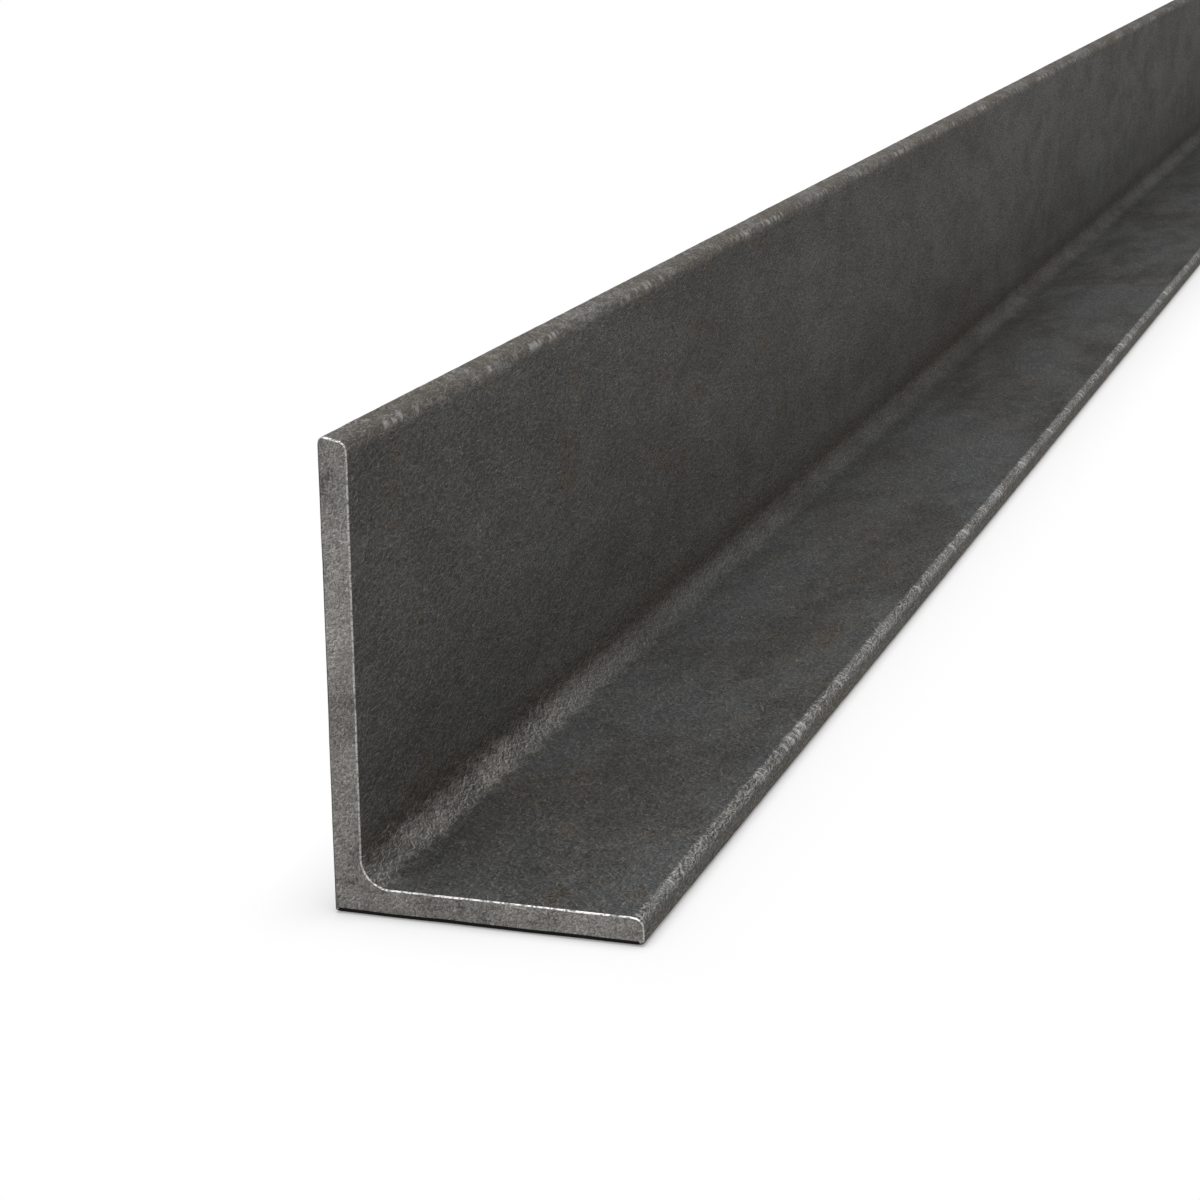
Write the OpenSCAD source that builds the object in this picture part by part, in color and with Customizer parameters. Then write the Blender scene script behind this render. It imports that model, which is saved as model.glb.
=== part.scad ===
// Hot-rolled steel angle with unequal legs, 3 x 2 x 3/16 in, sawn to a 4 ft length.
// It lies on its short leg. X runs across the bar from the heel to the short leg's toe,
// Y runs along it, away from the near saw cut, and Z runs up the long leg.
// The origin is on the floor, below the middle of the bar.

/* [Legs] */
// Height of the long leg, measured over the heel
long_leg = 76.2; // [50.8:0.1:101.6]
// Width of the short leg, measured over the heel
short_leg = 50.8; // [38.1:0.1:76.2]
// Thickness of both legs
leg_t = 4.7625; // [3.175:0.0125:9.525]

/* [Rolled corners] */
// Radius of the fillet in the root, between the legs' inner faces
root_r = 4.6; // [2:0.1:9]
// Radius of each toe's inner corner
toe_inner_r = 1.8; // [0.5:0.1:2.5]
// Radius of each toe's outer corner
toe_outer_r = 1; // [0.2:0.1:1.5]
// Radius of the heel, where the legs' outer faces meet
heel_r = 0.5; // [0.2:0.1:2]
// How far the long leg's toe falls from its outer corner to its inner side
toe_fall = 0.7; // [0:0.1:1]

/* [Length] */
// Length of the bar between its saw cuts
bar_l = 1219.2; // [304.8:0.1:6096]

/* [Hidden] */
$fn = 96;

mill_scale = [0.30, 0.29, 0.28];

// Flat that is left on a toe, between its two rounded corners, on even the thinnest leg
toe_flat = 0.2;
toe_r = min(toe_inner_r, leg_t - toe_outer_r - toe_flat);

// The long leg's toe slopes from the top of its outer corner to its inner side
toe_inner_z = long_leg - toe_fall;
toe_slope = atan(toe_fall / (leg_t - toe_outer_r));

// Height by which an arc crosses a sloping side, where it would otherwise only touch it
eps = 0.001;

// What the rolls take off a corner. The corner is at the origin, with one side along X
// and the other turned from it by the opening angle. The cutter is a kite that starts at
// the arc's centre and runs on past both sides, less the arc's circle, which touches both.
module rolled_off(radius, opening = 90) {
    setback = radius / tan(opening / 2);
    past = 2;
    translate([setback, radius])
        difference() {
            polygon(past * [
                [0, 0],
                [0, -radius],
                [-setback, -radius],
                radius * [-sin(opening), cos(opening)]
            ]);
            circle(r = radius);
        }
}

// Both legs with sharp corners, and a block in the root that its fillet is cut from.
// The heel is at the origin, the short leg lies along X and the long leg along Y.
module sharp_legs() {
    square([short_leg, leg_t]);
    polygon([
        [0, 0],
        [leg_t, 0],
        [leg_t, toe_inner_z],
        [toe_outer_r, long_leg],
        [0, long_leg]
    ]);
    square(leg_t + root_r);
}

// Section through the bar, with its root fillet and its rounded heel and toes
module angle_section() {
    difference() {
        sharp_legs();
        translate([leg_t + root_r, leg_t + root_r]) circle(r = root_r);
        rolled_off(heel_r);
        // Short leg's toe, outer corner and then inner
        translate([short_leg, 0]) rotate(90) rolled_off(toe_outer_r);
        translate([short_leg, leg_t]) rotate(180) rolled_off(toe_r);
        // Long leg's toe, outer corner and then inner
        translate([0, long_leg]) rotate(270) rolled_off(toe_outer_r);
        translate([leg_t, toe_inner_z + eps])
            mirror([1, 0]) rotate(270) rolled_off(toe_r, 90 + toe_slope);
    }
}

// The whole bar: one solid, rolled to the section and sawn square at both ends
module angle_bar() {
    color(mill_scale)
        rotate([90, 0, 0])
            linear_extrude(height = bar_l, center = true)
                translate([-short_leg / 2, 0]) angle_section();
}

angle_bar();
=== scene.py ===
"""A length of hot-rolled steel angle, lying on its short leg on a pale studio floor.

The rolled bar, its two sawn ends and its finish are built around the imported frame.
Lengths are in metres unless a name says otherwise. X runs from the heel to the short
leg's toe, Y along the bar away from the near cut, and Z up the long leg.
"""

import math

import bpy
import numpy as np
from bpy.props import FloatProperty, FloatVectorProperty, PointerProperty
from mathutils import Matrix, Vector, noise


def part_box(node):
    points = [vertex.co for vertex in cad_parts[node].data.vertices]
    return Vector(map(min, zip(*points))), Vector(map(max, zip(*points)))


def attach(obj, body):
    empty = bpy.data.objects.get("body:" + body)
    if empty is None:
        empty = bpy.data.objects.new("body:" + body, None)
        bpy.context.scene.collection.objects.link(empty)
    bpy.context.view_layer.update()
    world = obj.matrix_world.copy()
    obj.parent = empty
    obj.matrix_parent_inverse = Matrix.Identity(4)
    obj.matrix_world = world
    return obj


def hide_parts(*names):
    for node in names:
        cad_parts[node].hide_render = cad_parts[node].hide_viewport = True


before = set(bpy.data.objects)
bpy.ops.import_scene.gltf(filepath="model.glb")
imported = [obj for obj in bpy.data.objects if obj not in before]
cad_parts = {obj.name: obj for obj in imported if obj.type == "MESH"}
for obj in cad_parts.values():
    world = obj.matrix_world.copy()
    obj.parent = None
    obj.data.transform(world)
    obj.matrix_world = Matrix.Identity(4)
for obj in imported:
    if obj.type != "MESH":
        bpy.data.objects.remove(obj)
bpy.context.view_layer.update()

bl_info = {
    "name": "Steel Angle",
    "version": (1, 0, 0),
    "blender": (4, 5, 0),
    "location": "View3D > Sidebar > Steel Angle",
    "description": "Builds a length of hot-rolled steel angle and the studio it lies in",
    "category": "Add Mesh",
}

MM = 0.001
CAD_NODE = "angle_bar"
BAR_NAME = "rolled_angle"
SCALE_SLOT = "mill_scale_steel"
# Stored at each point of the sawn edges: bare steel with a painted highlight, and painted shade
BARE_HIGHLIT_EDGE = "bare_highlit_edge"
SHADED_EDGE = "shaded_edge"

HEEL, FAR_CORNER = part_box(CAD_NODE)
SHORT_LEG = FAR_CORNER.x - HEEL.x
LONG_LEG = FAR_CORNER.z - HEEL.z
NEAR_FOOT = Vector((0.0, HEEL.y, HEEL.z))


def mm(*values):
    """Millimetres as metres."""
    return tuple(value * MM for value in values)


# Sizes of the noises in the finish
ROLLED_GRAIN = 0.95 * MM
SAWN_GRAIN = 0.66 * MM
FINE_GRAIN = 0.38 * MM
COARSE_GRAIN = 2.6 * MM
PATCH_SIZE = 34.0 * MM
CLOUD_SIZE = 8.0 * MM
CROOKED_SIZE = 3.2 * MM
SLIVER_SIZE = 2.1 * MM
STRETCH_SIZE = 21.0 * MM
MARK_SIZE = 3.5 * MM
SAWN_CLOUD_SIZE = 15.0 * MM
SAWN_STAIN_SIZE = 6.5 * MM
SAWN_CROOKED_SIZE = 2.0 * MM

# Factors on a place before a noise is read there, which draw the noise out where they are below 1
GRAIN_PULL = (1.0, 0.65, 1.4)
CLOUD_PULL = (1.0, 0.45, 1.0)
SLIVER_PULL = (0.5, 1.0, 0.5)
MARK_PULL = (0.22, 1.0, 0.22)
ALONG_ONLY = (0.0, 1.0, 0.0)

# From a point of the grain to the one it is compared with for its painted light and shade: to the left,
# nearer and up, in grains
LIT_SIDE = (-0.11, -0.08, 0.14)

# Where the look of the inside begins, just under the legs' inner faces
INSIDE_START = mm(-0.6, -0.2)

# Heights above the ledge, the short leg's upper face, where it ends and where the upright begins
LEDGE_END = mm(4.0, 1.0)
UPRIGHT_START = mm(7.0, 12.0)

# Bands round the inside corner, up the long leg below zero and out along the short leg above it: a brown
# fringe, a band of painted shade, a band of painted light, and grit with painted light
FRINGE_BAND = mm(-14.0, -4.5, 1.0)
PAINTED_SHADE_BAND = mm(-36.0, -18.0, -11.0)
PAINTED_LIGHT_BAND = mm(-14.0, -9.0, -5.0)
GRIT_START = mm(-7.0, -1.0)
GRIT_END = mm(5.0, 1.0)

# Distances from the near cut over which the grit and its painted light fade, and over which the inner
# faces are painted paler and darker
GRIT_FADE = mm(50.0, 160.0)
PAINTED_LIGHT_REACH = mm(60.0, 400.0)

# Where each toe's own look begins, from its outermost face, and the dark line at the long toe's back
LONG_TOE_START = mm(-3.2, -1.6)
SHORT_TOE_START = mm(-2.3, -1.5)
BACK_LINE = mm(0.9, 0.4)

# How far the grain pushes the borders of the grit and the toes, and the clouds the grit's fade
COARSE_PUSH = 9.0 * MM
FINE_PUSH = 3.0 * MM
FADE_PUSH = 120.0 * MM
TOE_PUSH = 1.0 * MM

# Pale patches of the sawn ends, from the heel: two up the long leg and two out along the short one
SAWN_MIDDLE = (0.36 * LONG_LEG, 0.66 * LONG_LEG, 0.86 * LONG_LEG)
ROOT_PATCH = mm(12.0, 21.0, 34.0)
HEEL_PATCH = mm(4.4, 11.4, 16.4)
LEDGE_PATCH = mm(23.4, 30.4, 37.4)

# Heights at which the stains of the sawn ends thin out
STAINED_FOOT = mm(14.0, 3.0)

# Faint casts of the scale, as factors on its colour
WARM_CAST = (1.02, 1.0, 0.97)
COOL_CAST = (0.98, 1.0, 1.015)

# Depth of the relief and strength of the gloss, for the scale and for the sawn ends
SCALE_RELIEF = 0.10 * MM
SCALE_GLOSS = 0.05
SAWN_RELIEF = 0.015 * MM
SAWN_GLOSS = 0.25
SAWN_METALLIC = 0.3

# Distances between points round the section and between rings along the bar
OUTER_SPACING = 4.5 * MM
INNER_SPACING = 3.2 * MM
TOE_SIDE_SPACING = 1.2 * MM
TOE_TOP_SPACING = 0.9 * MM
NEXT_TO_CORNER = 0.4 * MM
NEAR_RINGS = 1.0 * MM
FAR_RINGS = 3.6 * MM

# Shares of the bar's length over which its rings stay close together, and then draw apart
CLOSE_SHARE = 0.2
OPENING_SHARE = 0.5

# Rings at a sawn end, by their distance from it in edge breaks
BREAK_RINGS = (0.0, 0.35, 0.75, 1.1, 2.2, 4.0)

# How ragged the broken edges are, above and below, and how much bare steel with a painted highlight they
# carry where they face +X
RAGGED_SIZE = 2.5 * MM
RAGGED_ABOVE = 0.6
RAGGED_BELOW = 0.2
BARE_HIGHLIT_SIDE = 0.6

# The floor's own grey, how white the camera sees it beside the bar, and where it is quite white
WHITE = (1.0, 1.0, 1.0, 1.0)
FLOOR_GREY = (0.93, 0.93, 0.93, 1.0)
WHITE_AT_BAR = 0.2
SHADOW_REACH = 16.0 * MM

# Each lamp's place and the point it faces, from the bar's near foot, and its size
KEY_LAMP = (Vector((0.0, 0.15, 1.0)), Vector((0.0, 0.15, 0.0)), 1.0)
FRONT_LAMP = (Vector((-0.3, -1.5, 0.8)), Vector((0.0, 0.0, 0.04)), 0.9)

# The camera's place from the heel of the near cut, where it looks and which way is up for it
CAMERA_PLACE = Vector((0.17396, -0.38839, 0.16746))
CAMERA_FORWARD = Vector((-0.30505, 0.91418, -0.26686))
CAMERA_UP = Vector((-0.07229, 0.25718, 0.96366))
SENSOR_WIDTH_MM = 36.0


def length(name, description, default_mm):
    """A size property, given in millimetres and kept in metres."""
    return FloatProperty(
        name=name,
        description=description,
        default=default_mm * MM,
        min=0.0,
        precision=5,
        unit="LENGTH",
        subtype="DISTANCE",
    )


def share(name, description, default, top=1.0):
    """A plain factor property, from zero to its top."""
    return FloatProperty(
        name=name, description=description, default=default, min=0.0, max=top, subtype="FACTOR"
    )


def colour(name, description, default):
    """A colour property, in linear red, green and blue."""
    return FloatVectorProperty(
        name=name, description=description, default=default, size=3, min=0.0, max=1.0, subtype="COLOR"
    )


class SectionSizes(bpy.types.PropertyGroup):
    """Sizes of the rolled section that the frame's box doesn't give."""

    leg_thickness: length("Leg thickness", "Thickness of both legs", 4.7625)
    root_radius: length("Root radius", "Fillet between the legs' inner faces", 4.6)
    toe_inner_radius: length("Toe inner radius", "Inner corner of each toe", 1.8)
    toe_outer_radius: length("Toe outer radius", "Outer corner of each toe", 1.0)
    heel_radius: length("Heel radius", "Corner where the legs' outer faces meet", 0.5)
    toe_fall: length("Toe fall", "Fall across the long leg's toe, towards its inner side", 0.7)


class WearSizes(bpy.types.PropertyGroup):
    """How far the rolled and sawn surfaces depart from true."""

    wave_depth: length("Wave depth", "Depth of the rolled faces' slow waves", 0.08)
    wave_size: length("Wave size", "Distance across one slow wave", 28.0)
    toe_depth: length("Toe unevenness", "Depth of the toes' short unevenness", 0.14)
    toe_size: length("Toe unevenness size", "Distance along one toe unevenness", 5.0)
    edge_break: length("Edge break", "Radius of the broken edge round each sawn end", 0.22)
    under_break: length("Under edge break", "Radius of the same edge on the underside", 0.85)


class FinishColours(bpy.types.PropertyGroup):
    """Colours of the scale, the rust and the bare steel, with those of painted light, shade and
    highlights.
    """

    scale_dark: colour("Dark scale", "Mill scale where it is thickest", (0.069, 0.067, 0.0625))
    scale_light: colour("Light scale", "Mill scale where it is thin", (0.089, 0.087, 0.081))
    scale_blue: colour("Blue scale", "Cool tint in the scale", (0.083, 0.085, 0.0865))
    # Black for stains and rust lines, and for painted shade in the grain's pits and under the sawn ends'
    # lower edges
    black_scale_and_shade: colour("Black scale", "Pits and burnt edges", (0.010, 0.010, 0.010))
    rust_film: colour("Rust film", "Thin brown rust over the scale", (0.066, 0.058, 0.049))
    rust_speck: colour("Rust speck", "Small spots of orange rust", (0.122, 0.085, 0.062))
    # Pale grit in the root fillet, which also carries painted light where the fillet catches it
    lit_grit: colour("Root grit", "Pale grit in the root fillet", (0.222, 0.210, 0.196))
    # Painted light: the long leg's toe is paler because its top catches the light
    lit_top_scale: colour("Top scale", "Scale on the long leg's toe", (0.115, 0.105, 0.094))
    side_scale: colour("Side scale", "Scale on the side of the short leg's toe", (0.104, 0.097, 0.088))
    # Pale rubbed scale on both toes, which on the short toe's crest is also a painted highlight
    toe_scale: colour("Toe scale", "Rubbed scale on both toes", (0.165, 0.164, 0.159))
    # Painted highlight: bright strokes, specks and glints on the grain
    painted_glint: colour("Glint", "Bright strokes of the grain", (0.300, 0.298, 0.290))
    bare_steel: colour("Bare steel", "Bright steel where the scale has worn off", (0.72, 0.71, 0.69))
    sawn_light: colour("Light sawn steel", "Sawn end where it is palest", (0.264, 0.253, 0.238))
    sawn_dark: colour("Dark sawn steel", "Sawn end where it is dullest", (0.142, 0.134, 0.125))


class StudioSizes(bpy.types.PropertyGroup):
    """The floor, the lamps and the camera."""

    floor_size: length("Floor size", "Side of the square floor", 12000.0)
    world_level: share("World level", "Strength of the white surroundings", 0.40, 2.0)
    key_level: FloatProperty(
        name="Key lamp", description="Power of the lamp overhead", default=7.6, min=0.0, unit="POWER"
    )
    front_level: FloatProperty(
        name="Front lamp", description="Power of the lamp in front", default=6.0, min=0.0, unit="POWER"
    )
    focal_length: FloatProperty(
        name="Focal length", description="Camera's focal length", default=86.76, min=1.0, unit="CAMERA"
    )


class Signal:
    """A socket in a material, with arithmetic that adds Math nodes."""

    def __init__(self, recipe, socket):
        self.recipe = recipe
        self.socket = socket

    def math(self, operation, *values):
        """A Math node's result."""
        inputs = dict(enumerate(values))
        return self.recipe.node("ShaderNodeMath", {"operation": operation}, inputs)

    def __add__(self, other):
        return self.math("ADD", self, other)

    __radd__ = __add__

    def __sub__(self, other):
        return self.math("SUBTRACT", self, other)

    def __rsub__(self, other):
        return self.math("SUBTRACT", other, self)

    def __mul__(self, other):
        return self.math("MULTIPLY", self, other)

    __rmul__ = __mul__

    def __truediv__(self, other):
        return self.math("DIVIDE", self, other)

    def __rtruediv__(self, other):
        return self.math("DIVIDE", other, self)

    def __pow__(self, other):
        return self.math("POWER", self, other)

    def __rpow__(self, other):
        return self.math("POWER", other, self)

    def __abs__(self):
        return self.math("ABSOLUTE", self)

    def at_most(self, other):
        """The lower of two numbers."""
        return self.math("MINIMUM", self, other)

    def at_least(self, other):
        """The higher of two numbers."""
        return self.math("MAXIMUM", self, other)


class Recipe:
    """A material or world under construction."""

    def __init__(self, owner):
        owner.use_nodes = True
        self.tree = owner.node_tree
        self.tree.nodes.clear()

    def node(self, kind, settings=None, inputs=None, output=0):
        """Adds a node, makes its settings, then fills its sockets, and returns one output."""
        made = self.tree.nodes.new(kind)
        for name, value in (settings or {}).items():
            setattr(made, name, value)
        for name, value in (inputs or {}).items():
            if isinstance(value, Signal):
                self.tree.links.new(value.socket, made.inputs[name])
            else:
                made.inputs[name].default_value = value
        return Signal(self, made.outputs[output]) if len(made.outputs) else made

    def place(self):
        """Where a point of the surface lies, in the frame."""
        return self.node("ShaderNodeTexCoord", output="Object")

    def parts(self, vector, axes="XYZ"):
        """The numbers in a vector along the given axes."""
        return [self.node("ShaderNodeSeparateXYZ", None, {"Vector": vector}, axis) for axis in axes]

    def stored(self, name):
        """A number that is stored at each point of the mesh."""
        return self.node("ShaderNodeAttribute", {"attribute_name": name}, output="Fac")

    def ray(self, kind):
        """One for light rays of a kind, such as Camera, and nought for others."""
        return self.node("ShaderNodeLightPath", output=f"Is {kind} Ray")

    def times(self, vector, factors):
        """A vector or colour with each of its numbers multiplied by its own factor."""
        return self.node("ShaderNodeVectorMath", {"operation": "MULTIPLY"}, {0: vector, 1: factors})

    def noise(self, place, size, detail=3.0, roughness=0.6, distortion=0.0):
        """Noise from 0 to 1 whose features are about as large as size."""
        inputs = {
            "Vector": place,
            "Scale": 1.0 / size,
            "Detail": detail,
            "Roughness": roughness,
            "Distortion": distortion,
        }
        return self.node("ShaderNodeTexNoise", {"noise_dimensions": "3D"}, inputs)

    def rise(self, value, low, high, to_low=0.0, to_high=1.0):
        """A smooth step of value from low to high, or a smooth fall where low is above high."""
        inputs = {"Value": value, "From Min": low, "From Max": high, "To Min": to_low, "To Max": to_high}
        return self.node("ShaderNodeMapRange", {"interpolation_type": "SMOOTHSTEP"}, inputs)

    def hump(self, value, low, middle, high):
        """A smooth hump that is 1 at the middle and 0 outside low and high."""
        return self.rise(value, low, middle) * self.rise(value, high, middle)

    def blend(self, factor, first, second):
        """Two colours mixed by a factor."""
        inputs = {0: factor, 6: rgba(first), 7: rgba(second)}
        return self.node("ShaderNodeMix", {"data_type": "RGBA"}, inputs, 2)

    def shade(self, tint, factor):
        """A colour made lighter or darker by a factor."""
        inputs = {0: tint, "Scale": factor}
        return self.node("ShaderNodeVectorMath", {"operation": "SCALE"}, inputs)


def rgba(value):
    """A colour as a node's socket takes it: a link stays, and three numbers get an alpha."""
    return value if isinstance(value, Signal) else (*value, 1.0)


def finish_material(recipe, base, roughness, metallic, height, relief, gloss):
    """The steel's surface shader, with its relief from a height and a depth."""
    bump = recipe.node("ShaderNodeBump", None, {"Strength": 1.0, "Distance": relief, "Height": height})
    surface = recipe.node(
        "ShaderNodeBsdfPrincipled",
        None,
        {
            "Base Color": base,
            "Roughness": roughness,
            "Metallic": metallic,
            "Specular IOR Level": gloss,
            "Normal": bump,
        },
    )
    recipe.node("ShaderNodeOutputMaterial", None, {"Surface": surface})


class Grain:
    """Fine crooked relief of the steel, painted light and shade on its sides, and its coarser spread."""

    def __init__(self, recipe, place, size):
        self.recipe = recipe
        self.height = self.relief(place, size)
        step = {0: place, 1: [size * part for part in LIT_SIDE]}
        beside = recipe.node("ShaderNodeVectorMath", {"operation": "ADD"}, step)
        # Painted light and shade: the relief's height less its height a step towards the light
        self.lit = self.height - self.relief(beside, size)
        self.fine = recipe.noise(place, FINE_GRAIN, detail=0.0)
        self.coarse = recipe.noise(place, COARSE_GRAIN)

    def relief(self, place, size):
        """Height of the crooked relief at a place."""
        return self.recipe.noise(place, size, detail=1.0, roughness=0.65, distortion=0.8)

    def mottle(self, lit, fine, coarse):
        """A factor about 1 that follows the painted light and shade of the relief's sides, the fine
        grain and the coarse spread.
        """
        spread = self.recipe.rise(self.coarse, 0.35, 0.65, to_low=0.7, to_high=1.25)
        crests = self.lit * (1.0 + 3.0 * self.lit)
        waves = crests * spread * lit + (self.fine - 0.5) * fine + (self.coarse - 0.5) * coarse
        return (waves + 1.0).at_least(0.2)

    def strokes(self):
        """Painted highlights: short bright strokes on the steepest lit sides."""
        return self.recipe.rise(self.lit, 0.08, 0.15)

    def pits(self):
        """Painted shade: short dark strokes on the steepest far sides, standing also for pits."""
        return self.recipe.rise(self.lit, -0.09, -0.16)

    def curls(self):
        """Thin curled lines that run along the relief at its middle height."""
        return self.recipe.hump(self.height, 0.455, 0.50, 0.545)


def toe_slope(sizes):
    """Angle by which the long leg's toe slopes towards its inner side."""
    return math.atan2(sizes.toe_fall, sizes.leg_thickness - sizes.toe_outer_radius)


def long_toe_centre(sizes):
    """Centre of the long toe's inner corner, from the heel."""
    setback = sizes.toe_inner_radius / math.tan((math.pi / 2 + toe_slope(sizes)) / 2)
    return (sizes.leg_thickness - sizes.toe_inner_radius, LONG_LEG - sizes.toe_fall - setback)


def short_toe_centre(sizes):
    """Centre of the short toe's inner corner, from the heel."""
    return (SHORT_LEG - sizes.toe_inner_radius, sizes.leg_thickness - sizes.toe_inner_radius)


class MillScale:
    """The bar's mill scale: where a point of it lies, and its colour as each layer goes on."""

    def __init__(self, recipe, colours, sizes):
        self.recipe = recipe
        self.colours = colours
        self.sizes = sizes
        self.base = colours.scale_dark
        self.place = recipe.place()
        x, y, z = recipe.parts(self.place)
        self.across = x - HEEL.x
        self.up = z - HEEL.z
        self.from_cut = y - HEEL.y
        past_upright = self.across - sizes.leg_thickness
        above_ledge = self.up - sizes.leg_thickness
        # One between the legs and nought on the outer faces and the underside
        self.inside = recipe.rise(past_upright, *INSIDE_START) * recipe.rise(above_ledge, *INSIDE_START)
        self.ledge = self.inside * recipe.rise(above_ledge, *LEDGE_END)
        self.upright = self.inside * recipe.rise(above_ledge, *UPRIGHT_START)
        self.round_root = past_upright.at_least(0.0) - above_ledge.at_least(0.0)
        self.grain = Grain(recipe, recipe.times(self.place, GRAIN_PULL), ROLLED_GRAIN)
        pulled = recipe.times(self.place, CLOUD_PULL)
        self.patches = recipe.noise(pulled, PATCH_SIZE)
        self.clouds = recipe.noise(pulled, CLOUD_SIZE, detail=4.0, roughness=0.62)
        self.crooked = recipe.noise(pulled, CROOKED_SIZE, distortion=0.6)
        self.toe_push = (self.grain.coarse - 0.5) * TOE_PUSH

    def paint(self, factor, tint):
        """Lays a colour over the scale by a factor."""
        self.base = self.recipe.blend(factor, self.base, tint)

    def shade(self, factor):
        """Makes the scale lighter or darker by a factor."""
        self.base = self.recipe.shade(self.base, factor)

    def turn(self, centre):
        """How far round a toe's corner a point lies: nought where it faces up, 1 where it faces +X."""
        across = self.across - centre[0]
        return across.math("ARCTAN2", across, self.up - centre[1]) / (math.pi / 2)

    def lay_scale(self):
        """Dark, pale and blue clouds of scale, with brown rust over them, and painted light and shade
        along the inner faces.
        """
        recipe, colours = self.recipe, self.colours
        mixed = self.patches * 0.5 + self.clouds * 0.5
        self.paint(recipe.rise(mixed, 0.34, 0.66), colours.scale_light)
        blue = recipe.rise(self.patches, 0.38, 0.60) * (0.1 + 0.65 * self.ledge)
        self.paint(blue, colours.scale_blue)
        rust = self.clouds * 0.45 + (1.0 - self.patches) * 0.3 + self.grain.coarse * 0.25
        self.rust = recipe.rise(rust - 0.018 * self.ledge, 0.53, 0.60)
        self.paint(self.rust * 0.75, colours.rust_film)
        # Painted light and shade: away from the near cut the long leg's inner face is painted paler and
        # the ledge darker, and the ledge is darker in its dark clouds
        light_reach = recipe.rise(self.from_cut, *PAINTED_LIGHT_REACH)
        ledge_shade = recipe.rise(mixed, 0.38, 0.60, to_low=0.17, to_high=0.0) + 0.12 * light_reach
        self.shade(1.0 + 0.09 * self.upright * light_reach - self.ledge * ledge_shade)

    def dress_root(self):
        """A brown fringe up from the root, a band of painted light and a band of painted shade, and pale
        grit with painted light in the fillet.
        """
        recipe, clouds = self.recipe, self.clouds
        fringe = self.inside * recipe.hump(self.round_root, *FRINGE_BAND)
        self.paint(fringe * 0.75, self.colours.rust_film)
        # Painted light in a band near the root, and painted shade in a band higher up the long leg
        pale = recipe.hump(self.round_root, *PAINTED_LIGHT_BAND)
        corner_shade = recipe.hump(self.round_root, *PAINTED_SHADE_BAND)
        self.shade(1.0 + self.inside * (0.11 * pale - 0.11 * corner_shade))
        pushed = self.round_root + (self.grain.coarse - 0.5) * COARSE_PUSH
        pushed = pushed + (self.grain.height - 0.5) * FINE_PUSH
        lit_grit = self.inside * recipe.rise(pushed, *GRIT_START) * recipe.rise(pushed, *GRIT_END)
        pushed_from_cut = self.from_cut + (clouds - 0.5) * FADE_PUSH
        self.lit_grit = lit_grit * recipe.rise(pushed_from_cut, *GRIT_FADE, to_low=1.0, to_high=0.12)
        self.paint(self.lit_grit * recipe.rise(clouds, 0.35, 0.60, to_low=0.45), self.colours.lit_grit)

    def dress_long_toe(self):
        """Brown and pale scale on the long leg's toe, painted paler where its top catches the light, a
        dark line at its back and worn slivers.
        """
        recipe, colours = self.recipe, self.colours
        self.long_toe = recipe.rise(self.up - LONG_LEG + self.toe_push, *LONG_TOE_START)
        # The toe's top is painted paler where it catches the light, with rust and pale patches over it
        top = recipe.blend(self.rust * 0.7, colours.lit_top_scale, colours.rust_film)
        pale = recipe.rise(self.grain.coarse * 0.45 + self.clouds * 0.55, 0.495, 0.55)
        self.paint(self.long_toe, recipe.blend(pale * 0.8, top, colours.toe_scale))
        back_line = self.long_toe * recipe.rise(self.across, *BACK_LINE)
        self.paint(back_line * 0.8, colours.scale_dark)
        corner = recipe.hump(self.turn(long_toe_centre(self.sizes)), 0.2, 0.6, 1.1)
        clusters = recipe.noise(recipe.times(self.place, ALONG_ONLY), PATCH_SIZE, detail=2.0)
        pulled = recipe.times(self.place, SLIVER_PULL)
        slivers = recipe.noise(pulled, SLIVER_SIZE, detail=1.0, roughness=0.5)
        worn = corner * recipe.rise(slivers * 0.5 + clusters, 0.78, 0.88)
        self.worn = self.long_toe * worn * recipe.rise(slivers, 0.42, 0.60)

    def dress_short_toe(self):
        """The short leg's toe, with a rubbed crest that carries a painted highlight, and bare marks
        across it.
        """
        recipe, colours = self.recipe, self.colours
        self.short_toe = recipe.rise(self.across - SHORT_LEG + self.toe_push, *SHORT_TOE_START)
        self.paint(self.short_toe, colours.side_scale)
        turn = self.turn(short_toe_centre(self.sizes))
        # The crest, where the rounding faces up, is rubbed and painted pale as a highlight
        self.crest = self.short_toe * recipe.rise(turn, -0.3, 0.1) * recipe.rise(turn, 1.0, 0.5)
        stretches = recipe.noise(recipe.times(self.place, ALONG_ONLY), STRETCH_SIZE, detail=2.0)
        rubbing = recipe.rise(stretches * 0.6 + self.clouds * 0.4, 0.40, 0.58, to_low=0.50)
        self.rubbed_highlit = self.crest * rubbing
        self.paint(self.rubbed_highlit, colours.toe_scale)
        pulled = recipe.times(self.place, MARK_PULL)
        crosswise = recipe.noise(pulled, MARK_SIZE, detail=1.0, roughness=0.5, distortion=0.3)
        marks = self.crest * recipe.hump(crosswise, 0.51, 0.56, 0.61)
        self.marks = marks * recipe.rise(stretches, 0.44, 0.53)

    def lay_grain(self):
        """The grain with painted light and shade on its relief, pits of painted shade, painted
        highlights, bare marks, and small black and orange spots of rust.
        """
        recipe, colours, grain = self.recipe, self.colours, self.grain
        ledge, crest, rust, lit_grit, worn = self.ledge, self.crest, self.rust, self.lit_grit, self.worn
        cast = recipe.blend(recipe.rise(grain.coarse, 0.36, 0.64), COOL_CAST, WARM_CAST)
        self.base = recipe.times(self.base, cast)
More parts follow.
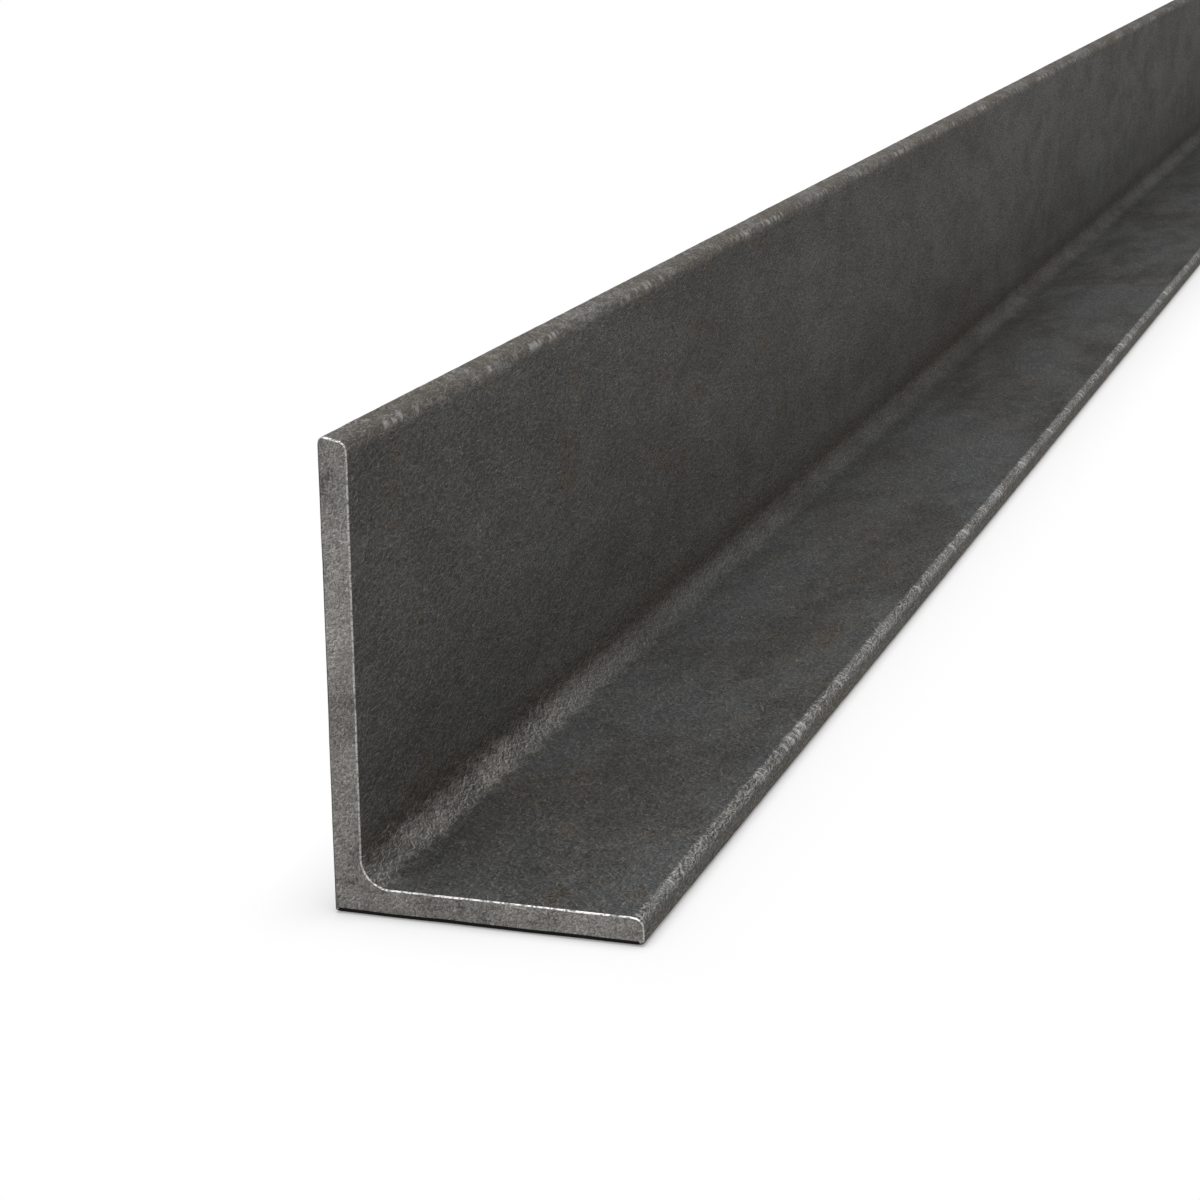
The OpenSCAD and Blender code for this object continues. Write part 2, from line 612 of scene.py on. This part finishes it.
        # How strong the painted light and shade on the grain is on each part, strongest in the grit and
        # on the short toe's crest
        lit = 2.6 - 0.2 * ledge + 2.1 * lit_grit + 1.2 * self.short_toe + 2.0 * crest - 0.8 * self.long_toe
        curls = grain.curls() * (0.80 - 0.06 * ledge + 0.2 * crest)
        self.shade(grain.mottle(lit, fine=0.30, coarse=0.15) + curls - 0.22)
        # Painted shade on the grain's far sides, as dark pits
        self.paint(grain.pits() * (0.12 + 0.35 * rust + 0.1 * lit_grit), colours.black_scale_and_shade)
        self.paint(recipe.hump(self.crooked, 0.53, 0.56, 0.59) * rust * 0.45, colours.black_scale_and_shade)
        # Painted highlights: fine specks, bright strokes on the grain's lit sides, and glints on the
        # worn spots
        painted_sparkles = recipe.rise(grain.fine, 0.76, 0.82) * recipe.rise(self.clouds, 0.45, 0.60)
        painted_glints = grain.strokes() * (0.10 - 0.07 * ledge + 0.35 * lit_grit + 0.75 * crest + 0.5 * worn)
        painted_glints = painted_glints + painted_sparkles * (0.25 - 0.10 * ledge) + worn * 0.6
        self.paint(painted_glints.at_most(1.0), colours.painted_glint)
        self.paint(self.marks * 0.40 + worn * 0.12, colours.bare_steel)
        orange = recipe.hump(self.crooked, 0.46, 0.50, 0.54) * recipe.rise(grain.fine, 0.35, 0.55)
        self.paint(orange * (0.03 + 0.45 * rust + 0.25 * self.long_toe), colours.rust_speck)

    def dress_cut_edges(self):
        """Painted shade along the sawn ends' edges that face down, and bare steel with a painted
        highlight along those that face up or +X.
        """
        recipe, grain = self.recipe, self.grain
        self.shaded = recipe.stored(SHADED_EDGE)
        self.paint(self.shaded, self.colours.black_scale_and_shade)
        bare_highlit = recipe.stored(BARE_HIGHLIT_EDGE) * recipe.rise(grain.fine, 0.30, 0.55, to_low=0.35)
        self.bare_highlit = bare_highlit * recipe.rise(grain.coarse, 0.30, 0.45, to_low=0.5)
        self.paint(self.bare_highlit, self.colours.bare_steel)

    def finish(self):
        """The scale's surface, once all its layers are on."""
        roughness = self.recipe.rise(self.clouds, 0.3, 0.7, to_low=0.80, to_high=0.68)
        roughness = roughness - self.rubbed_highlit * 0.12 - self.bare_highlit * 0.25
        metallic = 0.12 + self.rubbed_highlit * 0.2 + self.bare_highlit * 0.68 - self.shaded * 0.12
        height = self.grain.height + self.grain.coarse * (0.2 + 0.6 * self.lit_grit)
        finish_material(self.recipe, self.base, roughness, metallic, height, SCALE_RELIEF, SCALE_GLOSS)


def mill_scale_material(colours, sizes):
    """Hot-rolled mill scale, with a rust film, grit in the root and rubbed toes, and painted light,
    shade and highlights over them.
    """
    material = bpy.data.materials.new(SCALE_SLOT)
    scale = MillScale(Recipe(material), colours, sizes)
    scale.lay_scale()
    scale.dress_root()
    scale.dress_long_toe()
    scale.dress_short_toe()
    scale.lay_grain()
    scale.dress_cut_edges()
    scale.finish()
    return material


def sawn_material(colours):
    """The sawn ends: paler steel with pale patches, fine crooked grain with painted light and shade and
    painted highlights, dark pits of painted shade, and stains.
    """
    material = bpy.data.materials.new("sawn_steel")
    recipe = Recipe(material)
    place = recipe.place()
    x, z = recipe.parts(place, "XZ")
    across, up = x - HEEL.x, z - HEEL.z
    grain = Grain(recipe, place, SAWN_GRAIN)
    clouds = recipe.noise(place, SAWN_CLOUD_SIZE, detail=4.0)
    middle = recipe.hump(up, *SAWN_MIDDLE)
    patches = 0.20 * recipe.hump(up, *ROOT_PATCH)
    patches = patches + 0.30 * recipe.hump(across, *HEEL_PATCH)
    patches = patches + 0.45 * recipe.hump(across, *LEDGE_PATCH)
    paleness = recipe.rise(clouds, 0.36, 0.64) * 0.6 + middle * 0.5 + patches
    base = recipe.blend(paleness, colours.sawn_dark, colours.sawn_light)
    # Painted light and shade on the grain's relief, painted shade in its pits and painted highlights on
    # its lit sides
    mottle = grain.mottle(lit=2.5, fine=0.8, coarse=0.5)
    base = recipe.shade(base, mottle + grain.curls() * 0.60 - 0.18)
    base = recipe.blend(grain.pits() * 0.15, base, colours.scale_dark)
    base = recipe.blend(grain.strokes() * 0.2, base, colours.painted_glint)
    foot = recipe.rise(up, *STAINED_FOOT)
    stains = recipe.rise(recipe.noise(place, SAWN_STAIN_SIZE) + 0.05 * foot, 0.53, 0.62)
    crooked = recipe.noise(place, SAWN_CROOKED_SIZE, detail=2.0, distortion=0.8)
    crooked = recipe.hump(crooked, 0.45, 0.50, 0.55)
    stained = stains * (0.14 + 0.42 * crooked) * (1.0 - 0.7 * middle - patches) + crooked * 0.06
    base = recipe.blend(stained, base, colours.black_scale_and_shade)
    roughness = recipe.rise(clouds, 0.3, 0.7, to_low=0.66, to_high=0.56)
    finish_material(recipe, base, roughness, SAWN_METALLIC, grain.height, SAWN_RELIEF, SAWN_GLOSS)
    return material


def arc(centre, radius, start, end, steps, hollow=False):
    """Points round an arc, in degrees, each with its outward normal. A hollow arc faces its centre."""
    points = []
    side = -1.0 if hollow else 1.0
    for step in range(steps + 1):
        angle = math.radians(start + (end - start) * step / steps)
        ray = (math.cos(angle), math.sin(angle))
        place = (centre[0] + radius * ray[0], centre[1] + radius * ray[1])
        points.append((*place, side * ray[0], side * ray[1]))
    return points


def flat(start, end, normal, spacing):
    """Points strictly between two ends, with one close to each so that shading stays crisp."""
    run = math.dist(start, end)
    close = min(NEXT_TO_CORNER, run / 4.0)
    count = max(1, round((run - 2.0 * close) / spacing))
    points = []
    for step in range(count + 1):
        place = close + (run - 2.0 * close) * step / count
        across = start[0] + (end[0] - start[0]) * place / run
        up = start[1] + (end[1] - start[1]) * place / run
        points.append((across, up, *normal))
    return points


def section_outline(sizes):
    """The section's outline, anticlockwise from the heel, as points from the heel with normals.

    The second array says how uneven each point may be, from nought on the flats to 1 on the
    toes' inner corners.
    """
    thick, root = sizes.leg_thickness, sizes.root_radius
    inner, outer, heel = sizes.toe_inner_radius, sizes.toe_outer_radius, sizes.heel_radius
    long_centre, short_centre = long_toe_centre(sizes), short_toe_centre(sizes)
    # How far along each leg the root fillet reaches
    fillet = thick + root
    slope = toe_slope(sizes)
    slope_normal = (math.sin(slope), math.cos(slope))
    slope_foot = (long_centre[0] + inner * slope_normal[0], long_centre[1] + inner * slope_normal[1])
    stretches = [
        (0.3, arc((heel, heel), heel, 180, 270, 3)),
        (0.0, flat((heel, 0), (SHORT_LEG - outer, 0), (0, -1), OUTER_SPACING)),
        (0.6, arc((SHORT_LEG - outer, outer), outer, 270, 360, 5)),
        (0.5, flat((SHORT_LEG, outer), (SHORT_LEG, thick - inner), (1, 0), TOE_SIDE_SPACING)),
        (1.0, arc(short_centre, inner, 0, 90, 7)),
        (0.0, flat((SHORT_LEG - inner, thick), (fillet, thick), (0, 1), INNER_SPACING)),
        (0.4, arc((fillet, fillet), root, 270, 180, 10, hollow=True)),
        (0.0, flat((thick, fillet), (thick, long_centre[1]), (1, 0), INNER_SPACING)),
        (1.0, arc(long_centre, inner, 0, 90 - math.degrees(slope), 7)),
        (0.5, flat(slope_foot, (outer, LONG_LEG), slope_normal, TOE_TOP_SPACING)),
        (0.7, arc((outer, LONG_LEG - outer), outer, 90, 180, 5)),
        (0.0, flat((0, LONG_LEG - outer), (0, heel), (-1, 0), OUTER_SPACING)),
    ]
    points = [point for uneven, stretch in stretches for point in stretch]
    unevenness = [uneven for uneven, stretch in stretches for point in stretch]
    return np.array(points), np.array(unevenness)


def ring_places(start, end):
    """Places along the bar between its edge breaks, close together at the near end."""
    run = end - start
    places = [0.0]
    while places[-1] < run:
        opening = min(1.0, max(0.0, (places[-1] / run - CLOSE_SHARE) / OPENING_SHARE))
        places.append(places[-1] + NEAR_RINGS + (FAR_RINGS - NEAR_RINGS) * opening)
    scale = run / places[-1]
    return [start + place * scale for place in places]


def bar_places(wear):
    """Places of all the bar's rings along Y, from the near cut to the far one."""
    insets = [breaks * wear.edge_break for breaks in BREAK_RINGS]
    places = [HEEL.y + inset for inset in insets[:-1]]
    places += ring_places(HEEL.y + insets[-1], FAR_CORNER.y - insets[-1])
    places += [FAR_CORNER.y - inset for inset in reversed(insets[:-1])]
    return places


def surface_depth(point, uneven, wear):
    """How far a point of the bar lies inside the true section."""
    wave = 0.5 + 0.5 * noise.noise(point / wear.wave_size)
    ripple = 0.5 + 0.5 * noise.noise(point / wear.toe_size)
    return wear.wave_depth * wave + wear.toe_depth * uneven * ripple


def break_depth(inset, radius):
    """How far a rounded edge has fallen away at a distance in from the sawn end."""
    way_in = min(1.0, inset / radius)
    return radius * (1.0 - math.sqrt(way_in * (2.0 - way_in)))


def bar_points(sizes, wear, places):
    """Points of the bar's rings, and at each how much bare steel with a painted highlight and how much
    painted shade it has.
    """
    outline, unevenness = section_outline(sizes)
    points, bare_highlit_shares, shadings = [], [], []
    for y in places:
        inset = min(y - HEEL.y, FAR_CORNER.y - y)
        for (across, up, nx, nz), uneven in zip(outline, unevenness):
            x, z = HEEL.x + across, HEEL.z + up
            point = Vector((x, y, z))
            # One where the surface faces down or up, and nought where it faces sideways
            under = math.sqrt(max(0.0, -nz))
            above = math.sqrt(max(0.0, nz))
            ragged = RAGGED_ABOVE - (RAGGED_ABOVE - RAGGED_BELOW) * under
            radius = wear.edge_break + under * (wear.under_break - wear.edge_break)
            radius = radius * (1.0 + ragged * noise.noise(point / RAGGED_SIZE))
            depth = surface_depth(point, uneven, wear) + break_depth(inset, radius)
            points.append((x - nx * depth, y, z - nz * depth))
            # Bare steel with a painted highlight on edges that face up or +X, and painted shade on edges
            # that face down
            bare_highlit_shares.append(max(above, BARE_HIGHLIT_SIDE * (nx > 0.5)) * (inset < wear.edge_break))
            shadings.append(under * (inset < wear.under_break))
    return points, bare_highlit_shares, shadings


def bar_faces(around, rings):
    """Faces between the rings of points, and last of all the near and the far cut."""
    first = np.arange(around)
    after = np.roll(first, -1)
    faces = []
    for low in range(0, (rings - 1) * around, around):
        high = low + around
        faces += np.stack([low + first, low + after, high + after, high + first], axis=1).tolist()
    near_cut = first[::-1].tolist()
    far_cut = ((rings - 1) * around + first).tolist()
    return faces + [near_cut, far_cut]


def bar_mesh(sizes, wear):
    """The bar as rings of the section along Y, with a broken edge and a flat cut at each end."""
    places = bar_places(wear)
    points, bare_highlit_shares, shadings = bar_points(sizes, wear, places)
    faces = bar_faces(len(points) // len(places), len(places))
    mesh = bpy.data.meshes.new(BAR_NAME)
    mesh.from_pydata(points, [], faces)
    for name, values in ((BARE_HIGHLIT_EDGE, bare_highlit_shares), (SHADED_EDGE, shadings)):
        attribute = mesh.attributes.new(name, "FLOAT", "POINT")
        attribute.data.foreach_set("value", np.array(values, dtype=np.float32))
    is_cut = np.zeros(len(faces), dtype=bool)
    is_cut[-2:] = True
    mesh.polygons.foreach_set("use_smooth", ~is_cut)
    mesh.polygons.foreach_set("material_index", is_cut.astype(np.int32))
    mesh.validate()
    mesh.update()
    return mesh


class STEELANGLE_OT_bar(bpy.types.Operator):
    """Build the rolled bar with its sawn ends and its mill scale"""

    bl_idname = "steelangle.bar"
    bl_label = "Rolled Bar"

    def execute(self, context):
        scene = context.scene
        mesh = bar_mesh(scene.angle_section, scene.angle_wear)
        mesh.materials.append(mill_scale_material(scene.angle_colours, scene.angle_section))
        mesh.materials.append(sawn_material(scene.angle_colours))
        bar = bpy.data.objects.new(BAR_NAME, mesh)
        scene.collection.objects.link(bar)
        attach(bar, "root")
        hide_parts(CAD_NODE)
        return {"FINISHED"}


def floor_material():
    """A pale floor that keeps the bar's shadow, and is plain white to the camera further off."""
    material = bpy.data.materials.new("pale_floor")
    recipe = Recipe(material)
    x, y = recipe.parts(recipe.place(), "XY")
    # Distance from the bar's box, whose middle is at nought in X and Y
    past_side = (abs(x) - FAR_CORNER.x).at_least(0.0)
    past_end = (abs(y) - FAR_CORNER.y).at_least(0.0)
    away = (past_side * past_side + past_end * past_end) ** 0.5
    plain = recipe.ray("Camera").at_least(recipe.ray("Glossy"))
    matt = recipe.node("ShaderNodeBsdfDiffuse", None, {"Color": FLOOR_GREY})
    white = recipe.node("ShaderNodeEmission", None, {"Color": WHITE, "Strength": 1.0})
    whiteness = (away / SHADOW_REACH).at_most(1.0) ** 0.5
    veil = plain * (WHITE_AT_BAR + (1.0 - WHITE_AT_BAR) * whiteness)
    surface = recipe.node("ShaderNodeMixShader", None, {0: veil, 1: matt, 2: white})
    recipe.node("ShaderNodeOutputMaterial", None, {"Surface": surface})
    return material


def add_floor(scene, size):
    """One large square floor under the bar."""
    half = size / 2.0
    mesh = bpy.data.meshes.new("studio_floor")
    corners = [(x, y, HEEL.z) for x, y in ((-half, -half), (half, -half), (half, half), (-half, half))]
    mesh.from_pydata(corners, [], [(0, 1, 2, 3)])
    mesh.materials.append(floor_material())
    floor = bpy.data.objects.new("studio_floor", mesh)
    scene.collection.objects.link(floor)


def add_world(scene, level):
    """White surroundings: plain light on the bar, and full white to the camera and in reflections."""
    world = bpy.data.worlds.new("white_studio")
    recipe = Recipe(world)
    seen = recipe.ray("Camera").at_least(recipe.ray("Glossy")).at_least(recipe.ray("Transmission"))
    strength = level + seen * (1.0 - level)
    light = recipe.node("ShaderNodeBackground", None, {"Color": WHITE, "Strength": strength})
    recipe.node("ShaderNodeOutputWorld", None, {"Surface": light})
    scene.world = world


def add_lamp(scene, name, setting, power):
    """A square area lamp, set by its place, the point it faces and its size."""
    place, target, size = setting
    data = bpy.data.lights.new(name, "AREA")
    data.shape = "SQUARE"
    data.size = size
    data.energy = power
    lamp = bpy.data.objects.new(name, data)
    lamp.location = NEAR_FOOT + place
    lamp.rotation_euler = (target - place).to_track_quat("-Z", "Y").to_euler()
    scene.collection.objects.link(lamp)


def add_camera(scene, focal_length):
    """The camera, near the heel of the near cut and looking along the bar."""
    data = bpy.data.cameras.new("camera")
    data.lens = focal_length
    data.sensor_width = SENSOR_WIDTH_MM
    data.clip_start = 0.01
    data.clip_end = 100.0
    camera = bpy.data.objects.new("camera", data)
    back = -CAMERA_FORWARD.normalized()
    right = CAMERA_UP.cross(back).normalized()
    true_up = back.cross(right)
    turn = Matrix((right, true_up, back)).transposed().to_4x4()
    camera.matrix_world = Matrix.Translation(HEEL + CAMERA_PLACE) @ turn
    scene.collection.objects.link(camera)
    scene.camera = camera


class STEELANGLE_OT_stage(bpy.types.Operator):
    """Set up the pale floor, the soft lamps and the camera"""

    bl_idname = "steelangle.stage"
    bl_label = "Studio"

    def execute(self, context):
        scene = context.scene
        studio = scene.angle_studio
        add_floor(scene, studio.floor_size)
        add_world(scene, studio.world_level)
        add_lamp(scene, "key_lamp", KEY_LAMP, studio.key_level)
        add_lamp(scene, "front_lamp", FRONT_LAMP, studio.front_level)
        add_camera(scene, studio.focal_length)
        scene.view_settings.view_transform = "Standard"
        return {"FINISHED"}


class STEELANGLE_PT_panel(bpy.types.Panel):
    """The bar and its studio, in the sidebar"""

    bl_idname = "STEELANGLE_PT_panel"
    bl_label = "Steel Angle"
    bl_space_type = "VIEW_3D"
    bl_region_type = "UI"
    bl_category = "Steel Angle"

    def draw(self, context):
        for operator in OPERATORS:
            self.layout.operator(operator.bl_idname, text=operator.bl_label)


OPERATORS = (STEELANGLE_OT_stage, STEELANGLE_OT_bar)
GROUPS = {
    "angle_section": SectionSizes,
    "angle_wear": WearSizes,
    "angle_colours": FinishColours,
    "angle_studio": StudioSizes,
}
CLASSES = (*GROUPS.values(), *OPERATORS, STEELANGLE_PT_panel)


def register():
    for cls in CLASSES:
        bpy.utils.register_class(cls)
    for name, group in GROUPS.items():
        setattr(bpy.types.Scene, name, PointerProperty(type=group))


def unregister():
    for name in GROUPS:
        delattr(bpy.types.Scene, name)
    for cls in reversed(CLASSES):
        bpy.utils.unregister_class(cls)


def main():
    register()
    bpy.ops.steelangle.stage()
    bpy.ops.steelangle.bar()


if __name__ == "__main__":
    main()
